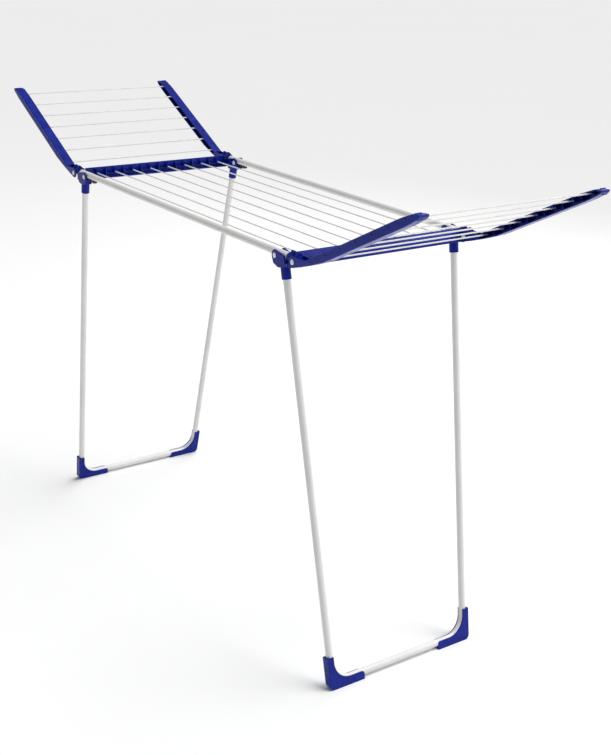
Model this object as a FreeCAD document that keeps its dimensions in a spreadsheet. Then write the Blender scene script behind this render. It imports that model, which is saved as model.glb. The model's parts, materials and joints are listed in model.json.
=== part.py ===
# Clothes drying rack. Two rails carry eight lines between two cross beams. A wing with seven
# lines folds up over each end, and a splayed U-shaped leg frame folds up under each end.
#
# Axes: +X runs along the rails to the right, +Y to the back, +Z up. The floor is Z = 0 and the
# origin lies under the middle of the rack. Lengths are in millimetres and angles in degrees.
#
# Wings and legs are drawn about their own hinge axis, straightened out, and their Placement
# turns them to the open position. The left-hand ones are the right-hand ones turned half a
# turn about the vertical, so their own front is the rack's back.

import FreeCAD, Part
import os
import Sketcher

SIZES = {
    # Centre frame
    "axis_height": 945,
    "rail_lift": 4,
    "rail_y": 228,
    "rail_diameter": 16,
    "rail_wall": 1.2,
    "rail_overhang": 8,
    "wing_pivot_x": 510,
    "leg_pivot_x": 447,
    "wire_diameter": 3.2,
    "centre_wires": 8,
    "centre_pitch": 52.7,
    "centre_wire_lift": -1,
    # Cross beams
    "beam_x": 490,
    "beam_half_length": 222,
    "beam_flange_end": 212,
    "beam_top": 9.8,
    "beam_bottom": -20,
    "beam_wall": 2.5,
    "beam_outer": 8,
    "beam_inner": -9,
    "collar_diameter": 18.8,
    "sleeve_end": 33,
    "lane_floor": -11,
    "boss_diameter": 9,
    # Hinges
    "pin_diameter": 5,
    "pin_clearance": 0.06,
    "snug": 0.03,
    "clevis_gap": 9.8,
    "cap_diameter": 11.4,
    "cap_height": 1.8,
    "cap_skin": 0.9,
    "cap_rest": 0.3,
    "washer_diameter": 10,
    "washer_thickness": 1.4,
    # Wings
    "wing_angle": 27,
    "wing_wires": 7,
    "wing_first": 61.7,
    "wing_pitch": 52.8,
    "wing_drop": 13.8,
    "arm_half_width": 12,
    "arm_top": -8,
    "arm_bottom": -26.5,
    "arm_tip": 420,
    "arm_wall": 2.4,
    "knuckle_diameter": 25,
    "slot_end": 44,
    # Leg frames
    "leg_angle": 10.6,
    "leg_offset": 16,
    "leg_diameter": 16,
    "leg_wall": 1.2,
    "foot_y": 191,
    "foot_centre": 12.5,
    "bend_radius": 50,
    "leg_top": -26,
    "ear_half_width": 12.6,
    "ear_diameter": 24,
    "ear_reach": 34,
    "socket_diameter": 21,
    "socket_top": -20,
    "socket_bottom": -50,
    # Shoes
    "shoe_height": 62.5,
    "shoe_length": 94,
    "shoe_wall": 3.5,
    "shoe_rim": 5,
    "shoe_half_width": 9.4,
    # Rests for the folded left leg frame
    "buffer_near": 10,
    "buffer_far": 42,
    "buffer_half_width": 4.5,
    "left_fold_slope": 9,
}

# Lengths that follow from the sizes above
DERIVED = {
    "rail_height": "axis_height + rail_lift",
    "stop_reach": "wing_pivot_x - beam_x - beam_outer - 0.3",
    "arm_outer": "rail_y + arm_half_width",
    "arm_inner": "rail_y - arm_half_width",
    "gap_outer": "rail_y + clevis_gap",
    "gap_inner": "rail_y - clevis_gap",
    "ear_outer": "rail_y + ear_half_width",
    "ear_inner": "rail_y - ear_half_width",
    "foot_depth": "(foot_centre - axis_height - leg_offset * sin(leg_angle)) / cos(leg_angle)",
    "taper": "atan((rail_y - foot_y) / -foot_depth) / 1 deg",
}

os.makedirs("parts", exist_ok=True)
doc = FreeCAD.newDocument("clothes_drying_rack")
sheet = doc.addObject("Spreadsheet::Sheet", "Sizes")
for row, (alias, content) in enumerate({**SIZES, **DERIVED}.items(), start=1):
    formula = f"={content}" if alias in DERIVED else str(content)
    sheet.set(f"A{row}", formula)
    sheet.setAlias(f"A{row}", alias)
doc.recompute()

ALIASES = sorted({**SIZES, **DERIVED}, key=len, reverse=True)
PLANES = {"XY": ("XY_Plane", 1), "XZ": ("XZ_Plane", -1), "YZ": ("YZ_Plane", 1)}
SIDES = {"front": -1, "back": 1}
ENDS = {"left": -1, "right": 1}
subparts = []


# --- Formulas -------------------------------------------------------------------------------

def bind(formula):
    """The formula with each alias written as a reference to the sheet."""
    words = []
    word = ""
    for letter in str(formula) + " ":
        if letter.isalnum() or letter == "_":
            word += letter
            continue
        words.append(f"Sizes.{word}" if word in ALIASES else word)
        words.append(letter)
        word = ""
    return "".join(words).strip()


def number(formula):
    """The formula's value with the present sizes."""
    return float(sheet.evalExpression(bind(formula)))


def drive(thing, field, formula):
    thing.setExpression(field, bind(formula))


# --- Sketches and features ------------------------------------------------------------------

def origin_plane(body, plane):
    role = PLANES[plane][0]
    return next(item for item in body.Origin.OriginFeatures if item.Role == role)


def pin_point(sketch, edge, end, x, y):
    """Holds one point of the sketch at the distances x and y from its origin."""
    for direction, formula in (("DistanceX", x), ("DistanceY", y)):
        rule = Sketcher.Constraint(direction, -1, 1, edge, end, number(formula))
        index = sketch.addConstraint(rule)
        drive(sketch, f"Constraints[{index}]", formula)


def draw_polygon(sketch, corners):
    first = sketch.GeometryCount
    points = [FreeCAD.Vector(number(x), number(y), 0) for x, y in corners]
    for here, there in zip(points, points[1:] + points[:1]):
        sketch.addGeometry(Part.LineSegment(here, there), False)
    for index, (x, y) in enumerate(corners):
        before = first + (index - 1) % len(corners)
        sketch.addConstraint(Sketcher.Constraint("Coincident", before, 2, first + index, 1))
        pin_point(sketch, first + index, 1, x, y)


def draw_circle(sketch, x, y, diameter):
    edge = sketch.GeometryCount
    centre = FreeCAD.Vector(number(x), number(y), 0)
    circle = Part.Circle(centre, FreeCAD.Vector(0, 0, 1), number(diameter) / 2)
    sketch.addGeometry(circle, False)
    pin_point(sketch, edge, 3, x, y)
    index = sketch.addConstraint(Sketcher.Constraint("Diameter", edge, number(diameter)))
    drive(sketch, f"Constraints[{index}]", diameter)


def new_sketch(body, label, plane, offset="0"):
    """A sketch parallel to one of the body's planes, at a coordinate along its third axis."""
    sketch = body.newObject("Sketcher::SketchObject", label)
    sketch.AttachmentSupport = (origin_plane(body, plane), [""])
    sketch.MapMode = "FlatFace"
    drive(sketch, "AttachmentOffset.Base.z", f"({offset}) * {PLANES[plane][1]}")
    return sketch


def extrude(body, kind, label, plane, start, end, outlines):
    """Pad or Pocket from one coordinate to another. A list of corners is a polygon, and
    a tuple of centre and diameter is a circle."""
    sketch = new_sketch(body, label + "_outline", plane, start)
    for outline in outlines:
        if isinstance(outline, list):
            draw_polygon(sketch, outline)
        else:
            draw_circle(sketch, *outline)
    feature = body.newObject("PartDesign::" + kind, label)
    feature.Profile = sketch
    drive(feature, "Length", f"abs(({end}) - ({start}))")
    along_normal = (number(end) - number(start)) * PLANES[plane][1] > 0
    feature.Reversed = along_normal if kind == "Pocket" else not along_normal
    doc.recompute()
    return feature


def fillet(body, label, radius, wanted):
    """Rounds the edges of the body's latest shape that the test wants."""
    base = body.Tip
    names = [f"Edge{i}" for i, edge in enumerate(base.Shape.Edges, start=1) if wanted(edge)]
    feature = body.newObject("PartDesign::Fillet", label)
    feature.Base = (base, names)
    drive(feature, "Radius", radius)
    doc.recompute()
    return feature


def edge_along(axis, first, second, reach=1.0):
    """Test for a straight edge parallel to an axis through a point of the other two."""
    others = [i for i in range(3) if i != axis]

    def wanted(edge):
        if edge.Curve.TypeId != "Part::GeomLine":
            return False
        if abs(abs(edge.tangentAt(edge.FirstParameter)[axis]) - 1) > 1e-6:
            return False
        middle = edge.CenterOfMass
        near = (middle[others[0]] - number(first)) ** 2 + (middle[others[1]] - number(second)) ** 2
        return near < reach ** 2
    return wanted


# --- Placing --------------------------------------------------------------------------------

def place(thing, x="0", y="0", z="0", axis=(0, 0, 1), angle="0"):
    thing.Placement = FreeCAD.Placement(FreeCAD.Vector(), FreeCAD.Rotation(FreeCAD.Vector(*axis), 1))
    for field, formula in (("x", x), ("y", y), ("z", z)):
        drive(thing, f"Placement.Base.{field}", formula)
    drive(thing, "Placement.Rotation.Angle", angle)


def place_swung(thing, end, pivot_x, angle):
    """Turns a part drawn about its hinge axis outwards, and half round for the left end."""
    if end == "right":
        place(thing, pivot_x, "0", "axis_height", (0, -1, 0), angle)
        return
    # A half turn about Z after a turn about -Y is a half turn about a tilted axis in XZ.
    half = number(angle) / 2
    tilt = FreeCAD.Rotation(FreeCAD.Vector(0, -1, 0), half).multVec(FreeCAD.Vector(0, 0, 1))
    tilt.x = -tilt.x
    place(thing, f"-{pivot_x}", "0", "axis_height", tuple(tilt), "180")


def finish(thing, label, group):
    thing.Label = label
    subparts.append((label, thing, group))
    return thing


def new_body(label):
    return doc.addObject("PartDesign::Body", label)


def gather(label, pieces):
    """One node for several identical fasteners, as separate solids."""
    together = doc.addObject("Part::Compound", label)
    together.Links = pieces
    return finish(together, label, "fasteners")


# --- Centre frame ---------------------------------------------------------------------------

def make_rail(side):
    body = new_body(f"rail_{side}")
    half = "(wing_pivot_x + rail_overhang)"
    extrude(body, "Pad", "tube", "YZ", f"-{half}", half,
            [("0", "0", "rail_diameter"), ("0", "0", "rail_diameter - 2 * rail_wall")])
    holes = [(f"{sign} * {pivot}", "-rail_lift", "pin_diameter + 2 * snug")
             for sign in (-1, 1) for pivot in ("wing_pivot_x", "leg_pivot_x")]
    extrude(body, "Pocket", "pin_holes", "XZ", "-rail_diameter", "rail_diameter", holes)
    place(body, "0", f"{SIDES[side]} * rail_y", "rail_height")
    finish(body, f"rail_{side}", "centre")


def wire_y(index):
    return f"({index} - (centre_wires - 1) / 2) * centre_pitch"


def make_cross_beam(end):
    """Slim moulded beam, open towards the middle, with a ribbed inside and a collar on
    each rail. Its X is measured outwards from beam_x, and its Z from the rails' centre."""
    body = new_body(f"cross_beam_{end}")
    wires = range(int(SIZES["centre_wires"]))
    shoulder = "beam_bottom + 12"
    skin = [("-beam_wall", "beam_top"), ("1", "beam_top"), ("beam_outer", shoulder),
            ("beam_outer", "beam_bottom"), ("beam_inner", "beam_bottom"),
            ("beam_inner", "beam_bottom + beam_wall"),
            ("beam_outer - beam_wall", "beam_bottom + beam_wall"),
            ("beam_outer - beam_wall", shoulder), ("-1", "beam_top - beam_wall"),
            ("-beam_wall", "beam_top - beam_wall")]
    extrude(body, "Pad", "skin", "XZ", "-beam_half_length", "beam_half_length", [skin])
    rib = [("-beam_wall + 0.2", "beam_top - 1"), ("0", "beam_top - 1"),
           ("beam_outer - 1", shoulder), ("beam_outer - 1", "beam_bottom + 1"),
           ("beam_inner + 0.5", "beam_bottom + 1")]
    for index in range(len(wires) + 1):
        middle = wire_y(index - 0.5)
        extrude(body, "Pad", f"rib_{index + 1}", "XZ", f"{middle} - 1", f"{middle} + 1", [rib])
    centre_z = "centre_wire_lift - rail_lift"
    extrude(body, "Pad", "wire_bosses", "YZ", "beam_inner + 0.5", "beam_outer - 2",
            [(wire_y(i), centre_z, "boss_diameter") for i in wires])
    for side in SIDES.values():
        y = f"{side} * rail_y"
        extrude(body, "Pad", "sleeve", "YZ", "beam_inner + 3", "sleeve_end - 1.2",
                [(y, "0", "collar_diameter")])
        extrude(body, "Pad", "sleeve_lip", "YZ", "sleeve_end - 2", "sleeve_end",
                [(y, "0", "collar_diameter - 2.4")])
        peak = [(f"{y} - 9", "5"), (f"{y} + 9", "5"), (f"{y} + 8.4", "8.5"),
                (f"{y} + 1", "16"), (f"{y} - 1", "16"), (f"{y} - 8.4", "8.5")]
        extrude(body, "Pad", "inner_peak", "YZ", "2", "beam_outer + 5", [peak])
        extrude(body, "Pad", "outer_peak", "YZ", "sleeve_end - 9", "sleeve_end - 3", [peak])
        ridge = [(f"{y} - 6", "5"), (f"{y} + 6", "5"), (f"{y} + 2.5", "11.5"),
                 (f"{y} - 2.5", "11.5")]
        extrude(body, "Pad", "ridge", "YZ", "beam_outer + 4", "sleeve_end - 8", [ridge])
        flange = [("beam_inner - 1", "beam_bottom - 1"),
                  ("beam_outer - beam_wall", "beam_bottom - 1"),
                  ("beam_outer - beam_wall", "shoulder_cut"), ("beam_inner - 1", "shoulder_cut")]
        flange = [(x, z.replace("shoulder_cut", shoulder)) for x, z in flange]
        extrude(body, "Pocket", "open_end", "XZ", f"{side} * beam_flange_end",
                f"{side} * (beam_half_length + 1)", [flange])
        saddle = [(f"{side} * 211", "beam_bottom"), (f"{side} * (rail_y + 7)", "beam_bottom"),
                  (f"{side} * (rail_y + 7)", "-6"), (f"{side} * 211", "-6")]
        extrude(body, "Pad", "saddle", "YZ", "beam_inner + 5", "beam_outer", [saddle])
        # A lane for the inner cheek of the wing's hinge, which swings over it
        lane = [("beam_inner - 1", "lane_floor"), ("beam_outer + 3", "lane_floor"),
                ("beam_outer + 3", "20"), ("beam_inner - 1", "20")]
        extrude(body, "Pocket", "cheek_lane", "XZ", f"{side} * (rail_y - arm_half_width - 0.6)",
                f"{side} * (rail_y - collar_diameter / 2 - 0.1)", [lane])
    extrude(body, "Pocket", "rail_bores", "YZ", "beam_inner - 1",
            "wing_pivot_x + rail_overhang - beam_x",
            [(f"{side} * rail_y", "0", "rail_diameter + 2 * snug") for side in SIDES.values()])
    extrude(body, "Pocket", "pin_holes", "XZ", "-rail_y - 12", "rail_y + 12",
            [("wing_pivot_x - beam_x", "-rail_lift", "pin_diameter + 2 * snug")])
    extrude(body, "Pocket", "wire_holes", "YZ", "beam_inner - 1", "beam_outer - 2.8",
            [(wire_y(i), centre_z, "wire_diameter + 2 * snug") for i in wires])
    place(body, f"{ENDS[end]} * beam_x", "0", "rail_height",
          (0, 0, 1), "0" if end == "right" else "180")
    finish(body, f"cross_beam_{end}", "centre")


def make_rod(label, diameter, half_length, x, y, z, axis, group):
    """Straight wire centred on a point, along X or Y."""
    rod = doc.addObject("Part::Cylinder", label)
    drive(rod, "Radius", f"({diameter}) / 2")
    drive(rod, "Height", f"2 * ({half_length})")
    if axis == "X":
        place(rod, f"{x} - ({half_length})", y, z, (0, 1, 0), "90")
    else:
        place(rod, x, f"{y} - ({half_length})", z, (-1, 0, 0), "90")
    return finish(rod, label, group) if group else rod


def make_centre_wires():
    for index in range(int(SIZES["centre_wires"])):
        make_rod(f"centre_wire_{index + 1}", "wire_diameter", "beam_x + beam_outer - 3",
                 "0", wire_y(index), "axis_height + centre_wire_lift", "X", "centre")


def make_buffer(side):
    """Small rest clipped under a left rail. Its slanted underside meets the folded leg."""
    body = new_body(f"leg_buffer_left_{side}")
    y = f"{SIDES[side]} * rail_y"

    def underside(distance):
        lean = f"(leg_offset - socket_diameter / 2) * cos(left_fold_slope)"
        return f"0.5 - {lean} - {distance} * sin(left_fold_slope)"
    outline = [("buffer_near", "rail_lift"), ("buffer_far", "rail_lift"),
               ("buffer_far", underside("buffer_far")), ("buffer_near", underside("buffer_near"))]
    extrude(body, "Pad", "block", "XZ", f"{y} - buffer_half_width", f"{y} + buffer_half_width",
            [outline])
    extrude(body, "Pocket", "rail_groove", "YZ", "buffer_near - 1", "buffer_far + 1",
            [(y, "rail_lift", "rail_diameter + 2 * snug")])
    fillet(body, "soft_end", "3", edge_along(1, "buffer_far", underside("buffer_far")))
    place(body, "-leg_pivot_x", "0", "axis_height")
    finish(body, f"leg_buffer_left_{side}", "centre")


# --- Hinge fasteners ------------------------------------------------------------------------

def turned_profile(label, corners):
    """Half section of a turned fastener: X is the radius and Y runs along its axis."""
    sketch = doc.addObject("Sketcher::SketchObject", label)
    draw_polygon(sketch, corners)
    return sketch


def turned_piece(label, profile, x, y, z, outward):
    piece = doc.addObject("Part::Revolution", label)
    piece.Source = profile
    piece.Axis = (0, 1, 0)
    piece.Angle = 360
    piece.Solid = True
    place(piece, x, y, z, (1, 0, 0), "0" if outward > 0 else "180")
    return piece


def hinge_points(pivot_x):
    return [(f"{end} * {pivot_x}", side) for end in ENDS.values() for side in SIDES.values()]


def make_hinge_fasteners():
    hole = "pin_diameter / 2 + snug"
    cap = turned_profile("cap_profile", [
        (hole, "0"), ("cap_diameter / 2", "0"), ("cap_diameter / 2", "cap_height * 0.35"),
        ("cap_diameter * 0.46", "cap_height * 0.65"), ("cap_diameter * 0.34", "cap_height * 0.9"),
        ("cap_diameter * 0.2", "cap_height"), ("0", "cap_height"),
        ("0", "cap_height - cap_skin"), (hole, "cap_height - cap_skin")])
    washer = turned_profile("washer_profile", [
        (hole, "0"), ("washer_diameter / 2", "0"), ("washer_diameter / 2", "washer_thickness"),
        (hole, "washer_thickness")])
    washers = []
    for name, pivot_x, half_width in (("wing", "wing_pivot_x", "arm_half_width"),
                                      ("leg", "leg_pivot_x", "ear_half_width")):
        pins = []
        caps = []
        for x, side in hinge_points(pivot_x):
            middle = f"{side} * rail_y"
            number_of_hinge = len(pins) + 1
            pins.append(make_rod(f"{name}_pin_{number_of_hinge}", "pin_diameter",
                                 f"{half_width} + cap_rest + cap_height - cap_skin - 0.1",
                                 x, middle, "axis_height", "Y", None))
            for way in (-1, 1):
                tag = f"{name}_{number_of_hinge}_{'out' if way == side else 'in'}"
                caps.append(turned_piece(f"cap_{tag}", cap, x,
                                         f"{middle} + {way} * ({half_width} + cap_rest)",
                                         "axis_height", way))
                if name == "leg":
                    washers.append(turned_piece(f"washer_{tag}", washer, x,
                                                f"{middle} + {way} * (rail_diameter / 2 + 0.1)",
                                                "axis_height", way))
        gather(f"{name}_hinge_pins", pins)
        gather(f"{name}_hinge_caps", caps)
    gather("hinge_washers", washers)


# --- Wings ----------------------------------------------------------------------------------
# Drawn with X from the hinge to the tip and Z across the arm.

def wing_wire_x(index):
    return f"wing_first + {index} * wing_pitch"


def make_arm(end, side):
    """Moulded arm: a clevis on the rail's end, then a channel open towards the lines."""
    label = f"{end}_arm_{side}"
    body = new_body(label)
    way = SIDES[side] * ENDS[end]
    inner = f"{way} * arm_inner"
    outer = f"{way} * arm_outer"
    web = f"{way} * gap_outer"
    wires = range(int(SIZES["wing_wires"]))
    extrude(body, "Pad", "knuckle", "XZ", inner, outer, [("0", "0", "knuckle_diameter")])
    blade = [("3", "12.1"), ("slot_end", "arm_top"), ("arm_tip - 58", "arm_top"),
             ("arm_tip - 22", "arm_top - 2.5"), ("arm_tip", "arm_bottom + 7.5"),
             ("arm_tip - 12", "arm_bottom + 3"), ("arm_tip - 40", "arm_bottom + 0.5"),
             ("arm_tip - 65", "arm_bottom"), ("104", "arm_bottom"), ("56", "arm_bottom + 5"),
             ("20", "arm_bottom + 10.5"), ("-5", "-11.4")]
    extrude(body, "Pad", "blade", "XZ", inner, outer, [blade])
    fillet(body, "round_tip", "3", edge_along(1, "arm_tip", "arm_bottom + 7.5"))
    fillet(body, "soft_rim", "1.8", lambda edge: all(
        abs(vertex.Y - number(outer)) < 1e-4 for vertex in edge.Vertexes))
    # A heel on the inner cheek rests against the cross beam when the wing is open
    heel = [("-stop_reach * cos(wing_angle) - 8 * sin(wing_angle)",
             "stop_reach * sin(wing_angle) - 8 * cos(wing_angle)"),
            ("-stop_reach * cos(wing_angle) - 15 * sin(wing_angle)",
             "stop_reach * sin(wing_angle) - 15 * cos(wing_angle)"),
            ("-6", "-12.5"), ("0", "-8"), ("-7", "6")]
    extrude(body, "Pad", "stop_heel", "XZ", inner, f"{way} * gap_inner", [heel])
    channel = [("slot_end + 3", "arm_top - arm_wall"), ("arm_tip - 59", "arm_top - arm_wall"),
               ("arm_tip - 24", "arm_top - 5"), ("arm_tip - 8", "arm_bottom + 8"),
               ("arm_tip - 14", "arm_bottom + 5.5"), ("arm_tip - 41", "arm_bottom + 2.9"),
               ("arm_tip - 65", "arm_bottom + arm_wall"), ("105", "arm_bottom + arm_wall"),
               ("58", "arm_bottom + 7.2"), ("slot_end + 3", "arm_bottom + 8.7")]
    extrude(body, "Pocket", "channel", "XZ", f"{way} * (arm_inner - 1)", web, [channel])
    # The slot keeps a floor beyond the rail's end, outside the end's swing
    slot = [("-16", "-24"), ("24", "-24"), ("24", "-13.2"), ("slot_end", "-16.6"),
            ("slot_end", "16"), ("-16", "16")]
    extrude(body, "Pocket", "rail_slot", "XZ", f"{way} * gap_inner", web, [slot])
    bosses = [(wing_wire_x(i), "-wing_drop", "boss_diameter - 1") for i in wires]
    extrude(body, "Pad", "wire_bosses", "XZ", f"{way} * (gap_outer - 8)", f"{way} * (gap_outer + 1)",
            bosses)
    ribs = []
    for i in wires:
        x = wing_wire_x(i + 0.5)
        top = "arm_top - 1"
        if i == wires[-1]:
            top = "arm_top - 3"
        ribs.append([(f"{x} - 0.9", top), (f"{x} + 0.9", top),
                     (f"{x} + 0.9", "arm_bottom + 1.6"), (f"{x} - 0.9", "arm_bottom + 1.6")])
    extrude(body, "Pad", "ribs", "XZ", f"{way} * (gap_outer - 14)", f"{way} * (gap_outer + 1)", ribs)
    holes = [(wing_wire_x(i), "-wing_drop", "wire_diameter + 2 * snug") for i in wires]
    extrude(body, "Pocket", "wire_holes", "XZ", f"{way} * (gap_outer - 9)",
            f"{way} * (arm_outer + 1)", holes)
    panel = [("50", "arm_top - 2.2"), ("arm_tip - 62", "arm_top - 2.2"),
             ("arm_tip - 50", "arm_top - 9"), ("66", "arm_top - 9")]
    extrude(body, "Pocket", "outer_panel", "XZ", f"{way} * (arm_outer - 0.6)",
            f"{way} * (arm_outer + 1)", [panel])
    extrude(body, "Pocket", "pin_hole", "XZ", f"{way} * (arm_inner - 1)",
            f"{way} * (arm_outer + 1)", [("0", "0", "pin_diameter + 2 * pin_clearance")])
    place_swung(body, end, "wing_pivot_x", "wing_angle")
    finish(body, label, f"{end}_wing")


def make_wing_wires(end):
    sign = ENDS[end]
    for index in range(int(SIZES["wing_wires"])):
        along = f"({wing_wire_x(index)})"
        x = f"{sign} * (wing_pivot_x + {along} * cos(wing_angle) + wing_drop * sin(wing_angle))"
        z = f"axis_height + {along} * sin(wing_angle) - wing_drop * cos(wing_angle)"
        make_rod(f"{end}_wing_wire_{index + 1}", "wire_diameter", "arm_outer - 2",
                 x, "0", z, "Y", f"{end}_wing")


# --- Leg frames -----------------------------------------------------------------------------
# Drawn with the tubes' plane upright: X is outwards from the hinge and Z runs up the legs.

def tilt_to_leg(sketch, way, depth):
    """Puts a horizontal sketch across a leg, at a depth below the hinge axis."""
    sketch.AttachmentOffset = FreeCAD.Placement(
        FreeCAD.Vector(), FreeCAD.Rotation(FreeCAD.Vector(-way, 0, 0), 1))
    drive(sketch, "AttachmentOffset.Base.x", "leg_offset")
    drive(sketch, "AttachmentOffset.Base.y", f"{way} * (rail_y + ({depth}) * tan(taper))")
    drive(sketch, "AttachmentOffset.Base.z", depth)
    drive(sketch, "AttachmentOffset.Rotation.Angle", "taper")


def leg_cylinder(body, kind, label, way, top, bottom, diameter):
    """Round boss or bore along a leg, between two depths."""
    sketch = new_sketch(body, label + "_outline", "XY")
    draw_circle(sketch, "0", "0", diameter)
    tilt_to_leg(sketch, way, top)
    feature = body.newObject("PartDesign::" + kind, label)
    feature.Profile = sketch
    drive(feature, "Length", f"({top}) - ({bottom})")
    feature.Reversed = kind == "Pad"
    doc.recompute()


def leg_path(body):
    """Centre line of the U-shaped tube: down one leg, along the floor and up the other."""
    sketch = new_sketch(body, "tube_path", "YZ", "leg_offset")
    top_y = number("rail_y + leg_top * tan(taper)")
    top_z = number("leg_top")
    low_z = number("foot_depth")
    bend = number("bend_radius")
    setback = number("bend_radius * tan((90 - taper) / 2)")
    low_y = number("foot_y")
    up_y = low_y + setback * number("sin(taper)")
    up_z = low_z + setback * number("cos(taper)")
    centre_y = low_y - setback
    points = [(-top_y, top_z), (-up_y, up_z), (-centre_y, low_z),
              (centre_y, low_z), (up_y, up_z), (top_y, top_z)]
    start, bend_1, bend_2, bend_3, bend_4, finish_point = [
        FreeCAD.Vector(y, z, 0) for y, z in points]
    turn = number("90 - taper")
    arcs = []
    for centre, first in ((-centre_y, 180 + number("taper")), (centre_y, 270)):
        circle = Part.Circle(FreeCAD.Vector(centre, low_z + bend, 0), FreeCAD.Vector(0, 0, 1), bend)
        begin = FreeCAD.Units.Quantity(first, "deg").getValueAs("rad").Value
        sweep = FreeCAD.Units.Quantity(turn, "deg").getValueAs("rad").Value
        arcs.append(Part.ArcOfCircle(circle, begin, begin + sweep))
    sketch.addGeometry(Part.LineSegment(start, bend_1), False)
    sketch.addGeometry(arcs[0], False)
    sketch.addGeometry(Part.LineSegment(bend_2, bend_3), False)
    sketch.addGeometry(arcs[1], False)
    sketch.addGeometry(Part.LineSegment(bend_4, finish_point), False)
    for first, first_end, second, second_end in ((0, 2, 1, 1), (1, 2, 2, 1), (2, 2, 3, 1), (3, 2, 4, 1)):
        sketch.addConstraint(Sketcher.Constraint("Tangent", first, first_end, second, second_end))
    sketch.addConstraint(Sketcher.Constraint("Horizontal", 2))
    pin_point(sketch, 0, 1, "-(rail_y + leg_top * tan(taper))", "leg_top")
    pin_point(sketch, 4, 2, "rail_y + leg_top * tan(taper)", "leg_top")
    index = sketch.addConstraint(Sketcher.Constraint("DistanceY", -1, 1, 2, 1, low_z))
    drive(sketch, f"Constraints[{index}]", "foot_depth")
    for arc in (1, 3):
        index = sketch.addConstraint(Sketcher.Constraint("Radius", arc, bend))
        drive(sketch, f"Constraints[{index}]", "bend_radius")
    index = sketch.addConstraint(Sketcher.Constraint("Angle", 0, FreeCAD.Units.Quantity(
        number("-90 + taper"), "deg").getValueAs("rad").Value))
    drive(sketch, f"Constraints[{index}]", "-90 + taper")
    index = sketch.addConstraint(Sketcher.Constraint("Angle", 4, FreeCAD.Units.Quantity(
        number("90 - taper"), "deg").getValueAs("rad").Value))
    drive(sketch, f"Constraints[{index}]", "90 - taper")
    return sketch


def leg_pipe(body, kind, label, diameters):
    """Tube, or the space for one, along the leg frame's centre line."""
    path = leg_path(body)
    profile = new_sketch(body, label + "_section", "XY")
    for diameter in diameters:
        draw_circle(profile, "0", "0", diameter)
    tilt_to_leg(profile, -1, "leg_top")
    doc.recompute()
    pipe = body.newObject("PartDesign::" + kind, label)
    pipe.Profile = profile
    pipe.Spine = (path, [])
    doc.recompute()


def make_leg_frame(end):
    label = f"{end}_leg_frame"
    body = new_body(label)
    leg_pipe(body, "AdditivePipe", "tube", ["leg_diameter", "leg_diameter - 2 * leg_wall"])
    place_swung(body, end, "leg_pivot_x", "leg_angle")
    finish(body, label, f"{end}_leg")


def make_connector(end, side):
    """Moulded head of a leg: two ears astride the rail and a socket for the tube. The
    bridge between the ears meets the rail's underside and so stops the leg's splay."""
    label = f"{end}_connector_{side}"
    body = new_body(label)
    way = SIDES[side] * ENDS[end]
    inner = f"{way} * ear_inner"
    outer = f"{way} * ear_outer"
    extrude(body, "Pad", "knuckle", "XZ", inner, outer, [("0", "0", "ear_diameter")])
    ear = [("3", "11.6"), ("ear_reach", "-1"), ("ear_reach", "-17"), ("26.4", "-25"), ("7", "-25"),
           ("-9", "-16"), ("-12", "-3")]
    extrude(body, "Pad", "ears", "XZ", inner, outer, [ear])
    fillet(body, "ear_corner", "5", edge_along(1, "ear_reach", "-1"))
    fillet(body, "soft_outer_rim", "1.2", lambda edge: all(
        abs(vertex.Y - number(outer)) < 1e-4 for vertex in edge.Vertexes))
    leg_cylinder(body, "Pad", "socket", way, "socket_top", "socket_bottom", "socket_diameter")
    slot = [("-14", "-27"), ("5.5", "-27"), ("5.5", "-11"), ("ear_reach + 2", "-11"),
            ("ear_reach + 2", "14"), ("-14", "14")]
    extrude(body, "Pocket", "rail_slot", "XZ", f"{way} * gap_inner", f"{way} * gap_outer", [slot])
    trim = [("-14", "-8"), ("2", "-14"), ("5.5", "-27"), ("-14", "-27")]
    extrude(body, "Pocket", "inner_ear_trim", "XZ", f"{way} * (ear_inner - 1)",
            f"{way} * gap_inner", [trim])
    leg_cylinder(body, "Pocket", "tube_bore", way, "leg_top", "socket_bottom - 5",
                 "leg_diameter + 2 * snug")
    extrude(body, "Pocket", "pin_hole", "XZ", f"{way} * (ear_inner - 1)",
            f"{way} * (ear_outer + 1)", [("0", "0", "pin_diameter + 2 * pin_clearance")])
    place_swung(body, end, "leg_pivot_x", "leg_angle")
    finish(body, label, f"{end}_leg")


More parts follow.
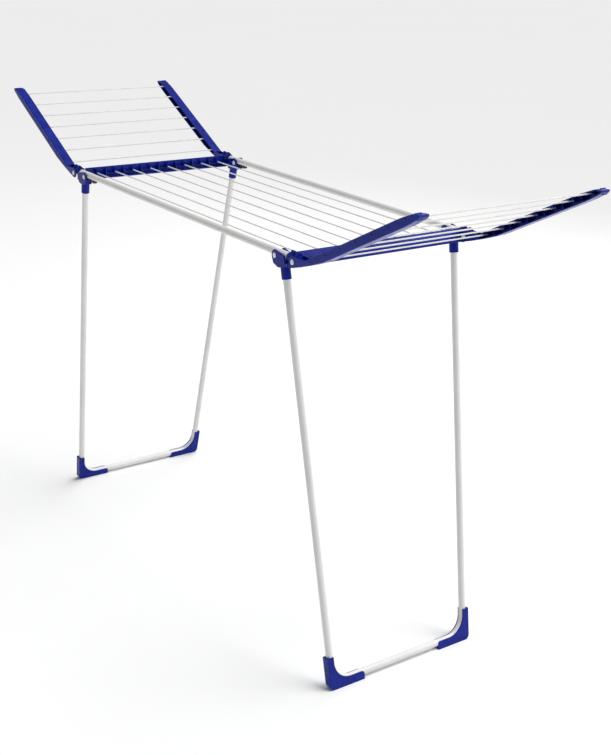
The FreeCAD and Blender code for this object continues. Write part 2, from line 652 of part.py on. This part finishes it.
def make_shoe(end, side):
    """Moulded shoe: an open trough that holds the tube's bend, with its outer corner filled
    and a flat sole on the floor."""
    label = f"{end}_shoe_{side}"
    body = new_body(label)
    way = SIDES[side] * ENDS[end]
    wall = "leg_diameter / 2 + shoe_wall"
    high = "shoe_height * tan(taper)"
    outline = [(f"{way} * (foot_y + {high} + {wall})", "foot_depth + shoe_height"),
               (f"{way} * (foot_y - 16 * tan(taper) + {wall})", "foot_depth - 16"),
               (f"{way} * (foot_y + {wall} - shoe_length)", "foot_depth - 16"),
               (f"{way} * (foot_y + {wall} - shoe_length)", "foot_depth + shoe_rim"),
               (f"{way} * (foot_y - shoe_rim)", "foot_depth + shoe_rim"),
               (f"{way} * (foot_y + {high} - shoe_rim)", "foot_depth + shoe_height")]
    extrude(body, "Pad", "block", "YZ", "leg_offset - shoe_half_width",
            "leg_offset + shoe_half_width", [outline])
    fillet(body, "inner_bend", "bend_radius - shoe_rim", edge_along(0, *outline[4]))
    fillet(body, "rounded_end", "6", edge_along(0, *outline[3]))
    sole = new_sketch(body, "sole_outline", "XZ", f"{way} * 80")
    draw_polygon(sole, [("0", "-axis_height - 60"), ("leg_offset + 400", "-axis_height - 60"),
                        ("leg_offset + 400", "-axis_height"), ("0", "-axis_height")])
    sole.AttachmentOffset = FreeCAD.Placement(
        FreeCAD.Vector(), FreeCAD.Rotation(FreeCAD.Vector(0, 0, -1), 1))
    drive(sole, "AttachmentOffset.Base.z", f"{-way} * 80")
    drive(sole, "AttachmentOffset.Rotation.Angle", "leg_angle")
    cut = body.newObject("PartDesign::Pocket", "sole")
    cut.Profile = sole
    cut.Length = 160
    cut.Reversed = way < 0
    doc.recompute()
    heel_y = number(f"{way} * (foot_y + {wall} - 13 * tan(taper))")
    fillet(body, "rounded_heel", "12", lambda edge: (
        abs(edge.tangentAt(edge.FirstParameter).y) < 0.05
        and abs(edge.CenterOfMass.y - heel_y) < 3
        and edge.CenterOfMass.z < number("foot_depth - 6")
        and abs(edge.tangentAt(edge.FirstParameter).x) > 0.9))
    leg_pipe(body, "SubtractivePipe", "tube_trough", ["leg_diameter + 2 * snug"])
    place_swung(body, end, "leg_pivot_x", "leg_angle")
    finish(body, label, f"{end}_leg")


# --- Build, check and write -----------------------------------------------------------------

for side_name in SIDES:
    make_rail(side_name)
    make_buffer(side_name)
make_centre_wires()
make_hinge_fasteners()
for end_name in ENDS:
    make_cross_beam(end_name)
    make_wing_wires(end_name)
    make_leg_frame(end_name)
    for side_name in SIDES:
        make_arm(end_name, side_name)
        make_connector(end_name, side_name)
        make_shoe(end_name, side_name)
doc.recompute()

failed = [thing.Name for thing in doc.Objects if {"Invalid", "Error"} & set(thing.State)]
if failed:
    raise RuntimeError(f"did not recompute: {failed}")
for label, thing, group in subparts:
    if thing.Shape.isNull() or not thing.Shape.isValid():
        raise RuntimeError(f"{label} has no valid shape")
    solids = thing.Shape.Solids
    if group != "fasteners" and len(solids) != 1:
        raise RuntimeError(f"{label} has {len(solids)} solids")
    thing.Shape.exportStep(f"parts/{label}.step")
    print(f"{label}: {thing.Shape.Volume / 1000:.2f} cm3")
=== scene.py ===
# Looks of the clothes drying rack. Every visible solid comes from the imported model; this
# script gives each one its material and sets the floor, the light and the camera.
# Lengths are in metres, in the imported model's frame.

import json
import math

import bpy
from mathutils import Matrix, Vector

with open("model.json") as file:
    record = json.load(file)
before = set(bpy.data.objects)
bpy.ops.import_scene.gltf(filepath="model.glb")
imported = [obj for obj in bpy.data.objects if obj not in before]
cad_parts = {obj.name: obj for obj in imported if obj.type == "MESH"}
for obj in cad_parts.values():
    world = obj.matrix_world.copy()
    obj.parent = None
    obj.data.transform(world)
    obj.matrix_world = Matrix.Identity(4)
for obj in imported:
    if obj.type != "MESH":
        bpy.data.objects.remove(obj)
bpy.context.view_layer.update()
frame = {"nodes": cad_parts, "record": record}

# Colours are linear, from 0 to 1. Angles are in radians.
WIRE_WHITE = (0.78, 0.775, 0.75)
WIRE_SHADE = (0.71, 0.705, 0.68)
# Painted shade: near black for the recessed wing-wire ends, partly the cut steel core, mostly
# the shade in their holes.
CUT_END_PAINTED_SHADE = (0.020, 0.020, 0.024)

FLOOR_HALF = 60
FLOOR_COLOURS = (0.90, 0.90, 0.90), (0.92, 0.92, 0.92)

WORLD_COLOUR = (0.96, 0.98, 1.0, 1)
WORLD_STRENGTH = 0.30
SUN_STRENGTH = 2.15
SUN_SPREAD = math.radians(30)
SUN_TOWARD = (-0.10, -0.30, -1.0)
SUN_COLOUR = (1.0, 0.995, 0.985)
SUN_DISTANCE = 5
RACK_MIDDLE = (0, 0, 0.9)

LENS_MM = 59.08
SENSOR_WIDTH_MM = 36
FAR_CLIP = 200
CAMERA_PLACE = (2.48639, -1.6080, 1.59227)
CAMERA_FORWARD = (-0.76326, 0.54434, -0.34803)
CAMERA_ROLL = 0.0316


# --- Material nodes -------------------------------------------------------------------------

class Recipe:
    """A node material built up step by step around one Principled shader."""

    def __init__(self, name):
        self.material = bpy.data.materials.new(name)
        self.material.use_nodes = True
        self.tree = self.material.node_tree
        self.shader = self.tree.nodes["Principled BSDF"]
        self.position = self.add("ShaderNodeTexCoord").outputs["Object"]
        self.normal = None

    def add(self, kind, **settings):
        node = self.tree.nodes.new(kind)
        for name, value in settings.items():
            setattr(node, name, value)
        return node

    def link(self, source, target):
        self.tree.links.new(source, target)

    def plain(self, **values):
        """Sets the shader's own sockets."""
        for name, value in values.items():
            self.shader.inputs[name.replace("_", " ")].default_value = value

    def noise(self, scale, detail=3.0, roughness=0.5, stretch=(1, 1, 1)):
        """Noise from 0 to 1, with features of about 1/scale metres."""
        mapping = self.add("ShaderNodeMapping")
        mapping.inputs["Scale"].default_value = stretch
        self.link(self.position, mapping.inputs["Vector"])
        noise = self.add("ShaderNodeTexNoise")
        noise.inputs["Scale"].default_value = scale
        noise.inputs["Detail"].default_value = detail
        noise.inputs["Roughness"].default_value = roughness
        self.link(mapping.outputs["Vector"], noise.inputs["Vector"])
        return noise.outputs["Fac"]

    def spread(self, value, low, high, start=0.35, end=0.65):
        """Maps the middle of a 0 to 1 value to the range from low to high."""
        node = self.add("ShaderNodeMapRange", interpolation_type="SMOOTHSTEP")
        self.link(value, node.inputs["Value"])
        node.inputs["From Min"].default_value = start
        node.inputs["From Max"].default_value = end
        node.inputs["To Min"].default_value = low
        node.inputs["To Max"].default_value = high
        return node.outputs["Result"]

    def multiply(self, first, second):
        node = self.add("ShaderNodeMath", operation="MULTIPLY", use_clamp=True)
        self.link(first, node.inputs[0])
        self.link(second, node.inputs[1])
        return node.outputs[0]

    def blend_colours(self, amount, first, second):
        """Goes from the first colour to the second; each is a tuple or a socket."""
        node = self.add("ShaderNodeMix", data_type="RGBA")
        self.link(amount, node.inputs["Factor"])
        for name, colour in (("A", first), ("B", second)):
            socket = next(s for s in node.inputs if s.name == name and s.type == "RGBA")
            if isinstance(colour, tuple):
                socket.default_value = (*colour, 1)
            else:
                self.link(colour, socket)
        return next(s for s in node.outputs if s.type == "RGBA")

    def edge(self, radius):
        """1 on sharp edges, falling to 0 a little way in, and the softened normal."""
        soft = self.add("ShaderNodeBevel", samples=6)
        soft.inputs["Radius"].default_value = radius
        geometry = self.add("ShaderNodeNewGeometry")
        dot = self.add("ShaderNodeVectorMath", operation="DOT_PRODUCT")
        self.link(soft.outputs["Normal"], dot.inputs[0])
        self.link(geometry.outputs["Normal"], dot.inputs[1])
        return self.spread(dot.outputs["Value"], 1.0, 0.0, 0.80, 0.99), soft.outputs["Normal"]

    def across_the_rack(self):
        """1 where a face looks straight to the front or back, 0 where it looks sideways."""
        geometry = self.add("ShaderNodeNewGeometry")
        parts = self.add("ShaderNodeSeparateXYZ")
        self.link(geometry.outputs["Normal"], parts.inputs["Vector"])
        size = self.add("ShaderNodeMath", operation="ABSOLUTE")
        self.link(parts.outputs["Y"], size.inputs[0])
        return size.outputs[0]

    def bump(self, height, distance):
        """Raises the surface by a height from 0 to 1 times the distance."""
        node = self.add("ShaderNodeBump")
        node.inputs["Distance"].default_value = distance
        node.inputs["Strength"].default_value = 1.0
        self.link(height, node.inputs["Height"])
        if self.normal is not None:
            self.link(self.normal, node.inputs["Normal"])
        self.normal = node.outputs["Normal"]
        self.link(self.normal, self.shader.inputs["Normal"])

    def colour(self, value):
        self.link(value, self.shader.inputs["Base Color"])

    def roughness(self, value):
        self.link(value, self.shader.inputs["Roughness"])


def moulded_plastic(name, base, pale, scuff, gloss=0.26, sheen=0.5):
    """Injection-moulded plastic: slight flow marks, a fine grain and scuffed edges."""
    edge_radius = 0.0008
    recipe = Recipe(name)
    edges, softened = recipe.edge(edge_radius)
    recipe.normal = softened
    flow = recipe.noise(14, 4, 0.55, (1, 1, 2.4))
    patches = recipe.noise(60, 4, 0.6)
    body = recipe.blend_colours(recipe.spread(flow, 0, 1), base, pale)
    worn = recipe.multiply(edges, recipe.spread(patches, 0, 0.35, 0.5, 0.75))
    recipe.colour(recipe.blend_colours(worn, body, scuff))
    recipe.roughness(recipe.spread(patches, gloss - 0.04, gloss + 0.08))
    recipe.bump(recipe.noise(90, 2), 0.00010)
    recipe.bump(recipe.noise(700, 2), 0.00001)
    recipe.plain(IOR=1.45, Specular_IOR_Level=sheen)
    return recipe.material


def powder_coat(name, base, shade, scuff):
    """Baked powder on thin tube: orange peel, faint handling marks and small scuffs."""
    recipe = Recipe(name)
    cloud = recipe.noise(9, 4, 0.6)
    marks = recipe.noise(150, 6, 0.7, (1, 1, 0.35))
    body = recipe.blend_colours(recipe.spread(cloud, 0, 1), base, shade)
    recipe.colour(recipe.blend_colours(recipe.spread(marks, 0, 0.7, 0.66, 0.80), body, scuff))
    recipe.roughness(recipe.spread(cloud, 0.30, 0.42))
    recipe.bump(recipe.noise(650, 2), 0.00006)
    recipe.plain(IOR=1.5)
    return recipe.material


def coated_wire(name, base, shade, painted_shade_ends=False):
    """Thin plastic coating drawn over wire: smooth, and with painted shade on the cut ends:
    near black, standing in for the shade in the holes they sit in, over the darker cut steel.
    """
    recipe = Recipe(name)
    cloud = recipe.noise(30, 4, 0.6)
    body = recipe.blend_colours(recipe.spread(cloud, 0, 1), base, shade)
    if painted_shade_ends:
        # Painted shade: faces looking to the front or back, the wire's cut ends, are coloured
        # near black for the shade in the holes they sit in.
        end = recipe.spread(recipe.across_the_rack(), 0, 1, 0.85, 0.95)
        body = recipe.blend_colours(end, body, CUT_END_PAINTED_SHADE)
    recipe.colour(body)
    recipe.roughness(recipe.spread(cloud, 0.28, 0.44))
    recipe.bump(recipe.noise(420, 3), 0.00005)
    recipe.plain(IOR=1.46)
    return recipe.material


def brushed_pin(name):
    """Bare steel with fine streaks along the pin."""
    recipe = Recipe(name)
    streaks = recipe.noise(900, 3, 0.6, (1, 0.06, 1))
    recipe.colour(recipe.blend_colours(recipe.spread(streaks, 0, 1),
                                       (0.50, 0.50, 0.51), (0.66, 0.66, 0.67)))
    recipe.roughness(recipe.spread(streaks, 0.26, 0.44))
    recipe.bump(streaks, 0.00003)
    recipe.plain(Metallic=1.0)
    return recipe.material


BLUE = moulded_plastic("royal_blue_plastic", (0.002, 0.011, 0.215), (0.003, 0.016, 0.260),
                       (0.020, 0.060, 0.380), sheen=0.2)
WHITE_CAP = moulded_plastic("white_cap_plastic", (0.80, 0.80, 0.81), (0.86, 0.86, 0.87),
                            (0.62, 0.62, 0.62), 0.22)
BLACK = moulded_plastic("black_buffer_plastic", (0.010, 0.010, 0.011), (0.020, 0.020, 0.021),
                        (0.090, 0.090, 0.090), 0.46)
NYLON = moulded_plastic("nylon_washer", (0.62, 0.61, 0.57), (0.70, 0.69, 0.65),
                        (0.50, 0.49, 0.46), 0.40)
TUBE = powder_coat("white_powder_coat", (0.79, 0.785, 0.77), (0.74, 0.735, 0.72),
                   (0.48, 0.46, 0.43))
WIRE = coated_wire("white_coated_wire", WIRE_WHITE, WIRE_SHADE)
# The wing wires get painted shade on their cut ends.
WING_WIRE = coated_wire("white_coated_wing_wire", WIRE_WHITE, WIRE_SHADE, painted_shade_ends=True)
STEEL = brushed_pin("plain_steel_pin")

FINISHES = {"white_tube": TUBE, "white_wire": WIRE, "blue_plastic": BLUE,
            "white_plastic": WHITE_CAP, "black_plastic": BLACK, "nylon": NYLON,
            "pin_steel": STEEL}

for part in frame["record"]["subparts"]:
    node = frame["nodes"][part["node"]]
    node.data.materials.clear()
    finish = WING_WIRE if "_wing_wire_" in part["node"] else FINISHES[part["material_slot"]]
    node.data.materials.append(finish)


# --- Floor and light ------------------------------------------------------------------------

def make_floor():
    corners = [(across * FLOOR_HALF, deep * FLOOR_HALF, 0)
               for across, deep in ((-1, -1), (1, -1), (1, 1), (-1, 1))]
    mesh = bpy.data.meshes.new("floor")
    mesh.from_pydata(corners, [], [(0, 1, 2, 3)])
    floor = bpy.data.objects.new("floor", mesh)
    bpy.context.scene.collection.objects.link(floor)
    recipe = Recipe("pale_floor")
    cloud = recipe.noise(0.8, 3)
    recipe.colour(recipe.blend_colours(cloud, *FLOOR_COLOURS))
    recipe.plain(Roughness=0.9, Specular_IOR_Level=0.1)
    mesh.materials.append(recipe.material)


def aim(thing, target):
    thing.rotation_euler = (Vector(target) - thing.location).to_track_quat("-Z", "Y").to_euler()


def hang_lamp(name, light, place, target):
    lamp = bpy.data.objects.new(name, light)
    bpy.context.scene.collection.objects.link(lamp)
    lamp.location = place
    aim(lamp, target)


def add_sun():
    light = bpy.data.lights.new("soft_sun", "SUN")
    light.energy = SUN_STRENGTH
    light.angle = SUN_SPREAD
    light.color = SUN_COLOUR
    hang_lamp("soft_sun", light, -Vector(SUN_TOWARD) * SUN_DISTANCE, (0, 0, 0))


def add_softbox(name, power, size, place):
    light = bpy.data.lights.new(name, "AREA")
    light.energy = power
    light.shape = "RECTANGLE"
    light.size, light.size_y = size
    hang_lamp(name, light, place, RACK_MIDDLE)


def light_the_studio():
    world = bpy.data.worlds.new("studio")
    world.use_nodes = True
    background = world.node_tree.nodes["Background"]
    background.inputs["Color"].default_value = WORLD_COLOUR
    background.inputs["Strength"].default_value = WORLD_STRENGTH
    bpy.context.scene.world = world
    add_sun()
    add_softbox("right_softbox", 34, (2.2, 1.6), (2.6, 1.9, 2.3))
    add_softbox("back_softbox", 40, (3.0, 1.0), (-1.2, 3.2, 2.6))


def place_camera():
    """Seen from the front right and a little above, with a slight roll."""
    lens = bpy.data.cameras.new("camera")
    lens.lens = LENS_MM
    lens.sensor_width = SENSOR_WIDTH_MM
    lens.clip_end = FAR_CLIP
    camera = bpy.data.objects.new("camera", lens)
    bpy.context.scene.collection.objects.link(camera)
    forward = Vector(CAMERA_FORWARD).normalized()
    right = forward.cross(Vector((0, 0, 1))).normalized()
    up = right.cross(forward)
    across = math.cos(CAMERA_ROLL) * right + math.sin(CAMERA_ROLL) * up
    upright = math.cos(CAMERA_ROLL) * up - math.sin(CAMERA_ROLL) * right
    turn = Matrix((across, upright, -forward)).transposed().to_4x4()
    camera.matrix_world = Matrix.Translation(CAMERA_PLACE) @ turn
    bpy.context.scene.camera = camera


make_floor()
light_the_studio()
place_camera()
bpy.context.scene.view_settings.view_transform = "Standard"
